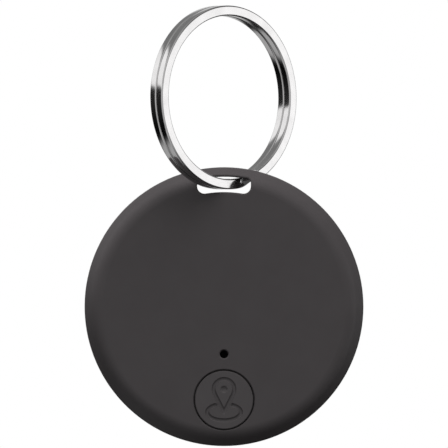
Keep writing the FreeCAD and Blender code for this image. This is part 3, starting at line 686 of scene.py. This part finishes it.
@dataclass
class BoardFittings:
    """What is soldered, plated or printed on the parts that stand on the board.

    A share is a part of the length, width or height of the block that the fitting is on.
    """

    cap_share: float = 0.24
    inductor_cap_share: float = 0.14
    antenna_cap_share: float = 0.1
    proud: float = 0.02
    soft: float = 0.03
    lead_wide: float = 0.24
    lead_long: float = 0.36
    lead_tall: float = 0.14
    lead_pitch: float = 0.5
    lead_proud: float = 0.06
    fillet_reach: float = 0.3
    fillet_wide_share: float = 0.62
    fillet_tall_share: float = 0.7
    fillet_sides: tuple[int, int] = (16, 10)
    dot_insets: tuple[tuple[str, float], ...] = (("radio_chip", 0.8), ("memory_chip", 0.45))
    dot_share: float = 0.35
    dot_tall: float = 0.012
    dot_steps: int = 28
    lid_margin: float = 0.2
    lid_tall: float = 0.1
    lid_soft: float = 0.045
    lid_steps: int = 3
    band_wide: float = 0.28
    band_soft: float = 0.008
    bands: int = 6
    pad_radius: float = 0.5
    pad_tall: float = 0.035
    pad_soft: tuple[float, float] = (0.02, 0.01)
    pad_steps: int = 32
    pad_spots: tuple[tuple[float, float], ...] = (
        (-9.2, -9.4), (-7.6, -9.4), (-6.0, -9.4), (-4.4, -9.4), (6.4, -9.4), (8.0, -9.4))

    def build(self) -> None:
        """Make every fitting."""
        self.end_caps("capacitor_end_caps", "capacitors", self.cap_share)
        self.end_caps("resistor_end_caps", "resistors", self.cap_share)
        self.end_caps("inductor_end_caps", "inductor", self.inductor_cap_share)
        self.end_caps("antenna_end_caps", "chip_antenna", self.antenna_cap_share)
        self.fillets()
        self.leads()
        self.marks()
        self.crystal_lid()
        self.antenna_bands()
        self.test_pads()

    def add(self, name: str, mesh: bmesh.types.BMesh, finish: Finish, slot: str) -> None:
        """Finish one fitting and fix it to the tag.

        Args:
            name: The piece's name.
            mesh: Its mesh in the tag's own frame.
            finish: Its finish.
            slot: Not used.
        """
        make_piece(name, mesh, TAG.matrix(), finish, "tag")

    def ends(self, low: Vector, high: Vector) -> tuple[int, tuple[Vector, Vector]]:
        """The long axis of a block and the middles of its two end faces.

        Args:
            low: Its lowest corner.
            high: Its highest corner.

        Returns:
            The axis number and the two points.
        """
        span = high - low
        axis = 0 if span.x >= span.y else 1
        first = (low + high) / 2
        second = first.copy()
        first[axis], second[axis] = low[axis], high[axis]
        return axis, (first, second)

    def end_caps(self, name: str, node: str, share: float) -> None:
        """Tinned caps wrapped over both ends of each block.

        Args:
            name: The piece's name.
            node: The CAD node that holds the blocks.
            share: How much of the block's length one cap covers.
        """
        mesh = bmesh.new()
        for low, high in solids_of(node):
            axis, points = self.ends(low, high)
            length = (high - low)[axis] * share
            block = high - low + Vector((self.proud, self.proud, self.proud)) * 2
            block[axis] = length
            block.z -= self.proud
            for point, inward in zip(points, (1, -1)):
                spot = point.copy()
                spot[axis] += inward * (length / 2 - self.proud)
                spot.z += self.proud / 2
                slab(mesh, tuple(block), Matrix.Translation(spot), self.soft)
        self.add(name, mesh, Finish.SOLDER, "solder")

    def fillets(self) -> None:
        """Low solder fillets where the caps meet the board."""
        mesh = bmesh.new()
        across, rings = self.fillet_sides
        level = 0.0
        for node in ("capacitors", "resistors"):
            for low, high in solids_of(node):
                level = low.z
                axis, points = self.ends(low, high)
                half = Vector((self.fillet_reach, self.fillet_reach,
                               (high.z - low.z) * self.fillet_tall_share))
                half[1 - axis] = (high - low)[1 - axis] * self.fillet_wide_share
                for point in points:
                    spot = Matrix.Translation((point.x, point.y, level))
                    bmesh.ops.create_uvsphere(mesh, u_segments=across, v_segments=rings, radius=1.0,
                                              matrix=spot @ Matrix.Diagonal((*half, 1)))
        bmesh.ops.bisect_plane(mesh, geom=mesh.verts[:] + mesh.edges[:] + mesh.faces[:],
                               dist=ON_PLANE, plane_co=(0, 0, level), plane_no=(0, 0, 1),
                               clear_inner=True)
        rims = [edge for edge in mesh.edges if edge.is_boundary]
        bmesh.ops.holes_fill(mesh, edges=rims, sides=0)
        self.add("chip_solder_fillets", mesh, Finish.SOLDER, "solder")

    def leads(self) -> None:
        """Plated leads that show round the foot of the two chips."""
        mesh = bmesh.new()
        for node in ("radio_chip", "memory_chip"):
            low, high = TAG.span(node)
            middle = (low + high) / 2
            for axis in (0, 1):
                count = int((high - low)[axis] / self.lead_pitch) - 1
                for number in range(count):
                    along = (number - (count - 1) / 2) * self.lead_pitch
                    for edge, inward in ((low[1 - axis], 1), (high[1 - axis], -1)):
                        spot = middle.copy()
                        spot[axis] += along
                        spot[1 - axis] = edge + inward * (self.lead_long / 2 - self.lead_proud)
                        spot.z = low.z + self.lead_tall / 2
                        block = [self.lead_wide, self.lead_wide, self.lead_tall]
                        block[1 - axis] = self.lead_long
                        slab(mesh, tuple(block), Matrix.Translation(spot), self.soft)
        self.add("chip_leads", mesh, Finish.SOLDER, "solder")

    def marks(self) -> None:
        """A printed dot by the first lead of each chip."""
        mesh = bmesh.new()
        for node, inset in self.dot_insets:
            low, high = TAG.span(node)
            spot = Vector((low.x + inset, high.y - inset, high.z))
            radius = inset * self.dot_share
            lathe(mesh, [(0, 0), (radius, 0), (radius, self.dot_tall), (0, self.dot_tall)],
                  self.dot_steps, spot)
        self.add("first_lead_dots", mesh, Finish.INK, "chip_epoxy")

    def crystal_lid(self) -> None:
        """The welded lid on the crystal's can."""
        low, high = TAG.span("crystal")
        middle = (low + high) / 2
        mesh = bmesh.new()
        slab(mesh, (high.x - low.x - 2 * self.lid_margin, high.y - low.y - 2 * self.lid_margin,
                    self.lid_tall),
             Matrix.Translation((middle.x, middle.y, high.z)), self.lid_soft,
             self.lid_steps)
        self.add("crystal_lid", mesh, Finish.STEEL, "crystal_can")

    def antenna_bands(self) -> None:
        """Silver bands printed round the ceramic antenna."""
        low, high = TAG.span("chip_antenna")
        middle = (low + high) / 2
        step = (high.x - low.x) / (self.bands + 1)
        mesh = bmesh.new()
        for number in range(1, self.bands + 1):
            slab(mesh, (self.band_wide, high.y - low.y + self.proud, high.z - low.z + self.proud / 2),
                 Matrix.Translation((low.x + number * step, middle.y, middle.z + self.proud / 4)),
                 self.band_soft, 1)
        self.add("antenna_bands", mesh, Finish.SILVER, "ceramic_white")

    def test_pads(self) -> None:
        """Gold pads on bare spots of the board."""
        front = TAG.span("circuit_board")[1].z
        inset, drop = self.pad_soft
        outline = [(0, 0), (self.pad_radius, 0), (self.pad_radius, self.pad_tall - drop),
                   (self.pad_radius - inset, self.pad_tall), (0, self.pad_tall)]
        mesh = bmesh.new()
        for x, y in self.pad_spots:
            lathe(mesh, outline, self.pad_steps, Vector((x, y, front)))
        self.add("board_test_pads", mesh, Finish.GOLD, "board")


@dataclass
class PocketRibs:
    """Ribs moulded on the inner frame and in the rear cover, round the cell.

    The cover's wall is given here, because a box shows only the outside of a node.
    """

    rim_inner: float = 10.3
    rim_outer: float = 10.82
    rim_tall: float = 0.55
    gap: float = math.radians(13)
    rib_wide: float = 0.6
    rib_from: float = 10.7
    rib_to: float = 15.0
    rib_tall_share: float = 0.8
    rib_soft: float = 0.08
    rib_angles: tuple[float, ...] = (195, 217, 323, 345)
    cover_inner: float = 11.6
    cover_outer: float = 12.2
    cover_tall: float = 0.7
    cover_gap: float = 0.6
    cover_wall: float = 1.0
    sunk: float = 0.02
    ring_steps: int = 120
    plus_long: float = 2.6
    plus_wide: float = 0.5
    plus_tall: float = 0.06
    plus_soft: float = 0.025
    plus_up: float = 5.6

    def build(self) -> None:
        """Mould the ribs."""
        self.frame_ribs()
        self.cover_ribs()
        self.plus_mark()

    def centre(self, level: float) -> Vector:
        """The cell's centre at one level.

        Args:
            level: The height in the tag's own frame.

        Returns:
            The centre, in millimetres.
        """
        middle = TAG.spot("battery_can")
        return Vector((middle.x, middle.y, level))

    def ring(self, mesh: bmesh.types.BMesh, inner: float, outer: float, low: float, high: float,
             gap: float) -> None:
        """A ring rib round the cell, open for the side contact.

        Args:
            mesh: The mesh to add to.
            inner: Its inner radius.
            outer: Its outer radius.
            low: Its lower level.
            high: Its upper level.
            gap: Half the angle of its opening, towards +X.
        """
        centre = self.centre(0)
        middle = (inner + outer) / 2
        place = (Matrix.Translation(centre) @ Matrix.Rotation(gap, 4, "Z")
                 @ Matrix.Translation((middle, 0, (low + high) / 2)) @ Matrix.Rotation(math.pi / 2, 4, "X")
                 @ Matrix.Diagonal((outer - inner, high - low, 1, 1)))
        made = bmesh.ops.create_grid(mesh, x_segments=1, y_segments=1, size=0.5, matrix=place)
        face = made["verts"][0].link_faces[0]
        bmesh.ops.spin(mesh, geom=[face], cent=centre, axis=(0, 0, 1), angle=2 * (math.pi - gap),
                       steps=self.ring_steps, use_duplicate=False)

    def ribs(self, mesh: bmesh.types.BMesh, near: float, far: float, low: float, high: float,
             angles: Iterable[float]) -> None:
        """Straight ribs that run out from the cell's centre.

        Args:
            mesh: The mesh to add to.
            near: Where they start, from the cell's centre.
            far: Where they end.
            low: Their lower level.
            high: Their upper level.
            angles: Their directions in degrees.
        """
        for angle in angles:
            place = (Matrix.Translation(self.centre((low + high) / 2))
                     @ Matrix.Rotation(math.radians(angle), 4, "Z")
                     @ Matrix.Translation(((near + far) / 2, 0, 0)))
            slab(mesh, (far - near, self.rib_wide, high - low), place, self.rib_soft)

    def frame_ribs(self) -> None:
        """The rim of the cell's pocket and its ribs, on the back of the inner frame."""
        back = TAG.span("inner_frame")[0].z
        mesh = bmesh.new()
        self.ring(mesh, self.rim_inner, self.rim_outer, back - self.rim_tall, back + self.sunk,
                  self.gap)
        self.ribs(mesh, self.rib_from, self.rib_to, back - self.rim_tall * self.rib_tall_share,
                  back + self.sunk, self.rib_angles)
        make_piece("frame_pocket_ribs", mesh, TAG.matrix(), Finish.FRAME, "tag")

    def cover_ribs(self) -> None:
        """A stiffening ring inside the rear cover."""
        floor = TAG.span("rear_cover")[0].z + self.cover_wall
        mesh = bmesh.new()
        self.ring(mesh, self.cover_inner, self.cover_outer, floor - self.sunk,
                  floor + self.cover_tall, self.cover_gap)
        make_piece("cover_stiffening_rib", mesh, TAG.matrix(), Finish.CASING, "cover")

    def plus_mark(self) -> None:
        """The stamped plus sign on the cell's back."""
        back = TAG.span("battery_can")[0].z
        mesh = bmesh.new()
        place = Matrix.Translation(self.centre(back) + Vector((0, self.plus_up, 0)))
        for across, along in ((self.plus_long, self.plus_wide), (self.plus_wide, self.plus_long)):
            slab(mesh, (across, along, self.plus_tall), place, self.plus_soft)
        make_piece("cell_plus_mark", mesh, TAG.matrix(), Finish.STEEL, "tag")


# ---------------------------------------------------------------- studio
@dataclass(frozen=True)
class Zone:
    """A soft-edged part of the studio's surroundings and what it does to the light from there.

    A limit is (start, end): the zone fades in from start to end along that axis, and each axis
    runs from -1 to 1 over the directions round the tag.  Inside the zone the light is kept by
    the share keep, and gain is added to it.
    """

    across: tuple[tuple[float, float], ...] = ()
    back: tuple[tuple[float, float], ...] = ()
    up: tuple[tuple[float, float], ...] = ()
    gain: float = 0.0
    keep: float = 1.0


@dataclass
class Studio:
    """A pale floor, a soft white studio and a long lens straight in front of the tag.

    The overhead panel gives the casing its pale upper rim and isn't mirrored by the ring.
    """

    view_mm: float = 60.86
    view_above_mm: float = 11.26
    distance: float = 0.9
    floor_gap: float = 0.03
    floor_radius: float = 0.12
    floor_sides: int = 96
    sensor_mm: float = 36.0
    clip_m: tuple[float, float] = (0.01, 20.0)
    panel_spot: tuple[float, float, float] = (-0.08, -0.1, 0.5)
    panel_size: tuple[float, float] = (1.3, 0.4)
    panel_watts: float = 10.4
    walls: float = 0.26
    zones: tuple[Zone, ...] = (
        # black flags: the floor's side, the left below eye level, the right
        Zone(up=((0.0, -0.5),), keep=0.08),
        Zone(across=((-0.25, -0.65),), up=((0.17, 0.12), (-0.7, -0.5)), keep=0.08),
        Zone(across=((0.35, 0.7),), keep=0.35),
        # soft boxes: a faint one overhead, high on the left, a strip on the right, low on the left
        Zone(up=((0.76, 0.92),), gain=0.12),
        Zone(across=((-0.62, -0.74),), up=((0.15, 0.19), (0.63, 0.57)), gain=1.0),
        Zone(across=((0.88, 0.95),), gain=1.35),
        Zone(across=((-0.25, -0.4), (-0.85, -0.7)), up=((-0.48, -0.62),), gain=0.5),
        # the broad fills in front and behind
        Zone(back=((-0.35, -0.8),), gain=0.44),
        Zone(back=((0.8, 0.95),), gain=0.5),
    )

    def build(self) -> None:
        """Set the floor, the light, the surroundings and the camera."""
        self.floor()
        self.panel()
        self.surroundings()
        self.camera()

    def floor(self) -> None:
        """A small round pale floor below the hanging tag."""
        mesh = bmesh.new()
        level = CAD_BOX[0][2] - self.floor_gap
        bmesh.ops.create_circle(mesh, cap_ends=True, segments=self.floor_sides,
                                radius=self.floor_radius,
                                matrix=Matrix.Translation((0, 0, level)))
        data = bpy.data.meshes.new("studio_floor")
        mesh.to_mesh(data)
        mesh.free()
        floor = bpy.data.objects.new("studio_floor", data)
        bpy.context.scene.collection.objects.link(floor)
        # Painted board: a matt pale ground that mirrors nothing.
        material, tree, shader = blank("white_board_floor")
        set_inputs(tree, shader, {"Base Color": linear("#ececec"), "Roughness": 0.8})
        data.materials.append(material)
        floor.visible_diffuse = False
        floor.visible_glossy = False

    def panel(self) -> None:
        """A soft rectangular light overhead that faces the tag."""
        data = bpy.data.lights.new("top_panel", "AREA")
        data.shape = "RECTANGLE"
        data.size, data.size_y = self.panel_size
        data.energy = self.panel_watts
        light = bpy.data.objects.new("top_panel", data)
        light.visible_glossy = False
        light.location = self.panel_spot
        aim = Vector((0, 0, TAG.centre.z)) - Vector(self.panel_spot)
        light.rotation_euler = aim.to_track_quat("-Z", "Y").to_euler()
        bpy.context.scene.collection.objects.link(light)

    def surroundings(self) -> None:
        """Grey walls with flags and soft boxes, which the tag and the metal pick up.

        The camera itself sees only white behind the tag.
        """
        world = bpy.data.worlds.new("studio_air")
        world.use_nodes = True
        tree = world.node_tree
        # In the surroundings, Generated is the direction that a ray goes in.
        way = add_node(tree, "ShaderNodeTexCoord").outputs["Generated"]
        axes = add_node(tree, "ShaderNodeSeparateXYZ", inputs={0: way})
        glow: float | bpy.types.NodeSocket = self.walls
        for zone in self.zones:
            mask = self.inside(tree, axes, zone)
            kept = add_node(tree, "ShaderNodeMath", settings={"operation": "MULTIPLY_ADD"},
                            inputs={0: mask, 1: zone.keep - 1.0, 2: 1.0}).outputs[0]
            dimmed = add_node(tree, "ShaderNodeMath", settings={"operation": "MULTIPLY"},
                              inputs={0: glow, 1: kept}).outputs[0]
            glow = add_node(tree, "ShaderNodeMath", settings={"operation": "MULTIPLY_ADD"},
                            inputs={0: mask, 1: zone.gain, 2: dimmed}).outputs[0]
        seen = add_node(tree, "ShaderNodeLightPath").outputs["Is Camera Ray"]
        glow = add_node(tree, "ShaderNodeMath", settings={"operation": "MAXIMUM"},
                        inputs={0: glow, 1: seen}).outputs[0]
        background = tree.nodes["Background"]
        tree.links.new(glow, background.inputs["Strength"])
        background.inputs["Color"].default_value = linear("#ffffff")
        bpy.context.scene.world = world

    def inside(self, tree: bpy.types.NodeTree, axes: bpy.types.Node,
               zone: Zone) -> float | bpy.types.NodeSocket:
        """How far a direction lies inside a zone.

        Args:
            tree: The surroundings' node tree.
            axes: The node that gives the direction's X, Y and Z.
            zone: The zone.

        Returns:
            A value of 1 inside the zone, 0 outside it and a smooth step between them.
        """
        mask: float | bpy.types.NodeSocket = 1.0
        for axis, limits in (("X", zone.across), ("Y", zone.back), ("Z", zone.up)):
            for start, end in limits:
                step = add_node(tree, "ShaderNodeMapRange",
                                settings={"interpolation_type": "SMOOTHSTEP"},
                                inputs={"Value": axes.outputs[axis], "From Min": start,
                                        "From Max": end})
                mask = add_node(tree, "ShaderNodeMath", settings={"operation": "MULTIPLY"},
                                inputs={0: mask, 1: step.outputs["Result"]}).outputs[0]
        return mask

    def camera(self) -> None:
        """A long lens straight in front, a little above the tag's centre."""
        data = bpy.data.cameras.new("studio_camera")
        data.sensor_width = self.sensor_mm
        reach = self.distance + TAG.centre.y - TAG.front * MM
        data.lens = data.sensor_width * reach / (self.view_mm * MM)
        data.clip_start, data.clip_end = self.clip_m
        camera = bpy.data.objects.new("studio_camera", data)
        camera.location = (TAG.centre.x, -self.distance, TAG.centre.z + self.view_above_mm * MM)
        camera.rotation_euler = (math.pi / 2, 0, 0)
        bpy.context.scene.collection.objects.link(camera)
        bpy.context.scene.camera = camera
        bpy.context.scene.view_settings.view_transform = "Standard"


def main() -> None:
    """Build the looks in order."""
    logging.basicConfig(level=logging.INFO, format="%(message)s")
    SplitRing().build()
    Casing().build()
    Inside().build()
    BoardFittings().build()
    PocketRibs().build()
    Studio().build()


if __name__ == "__main__":
    main()
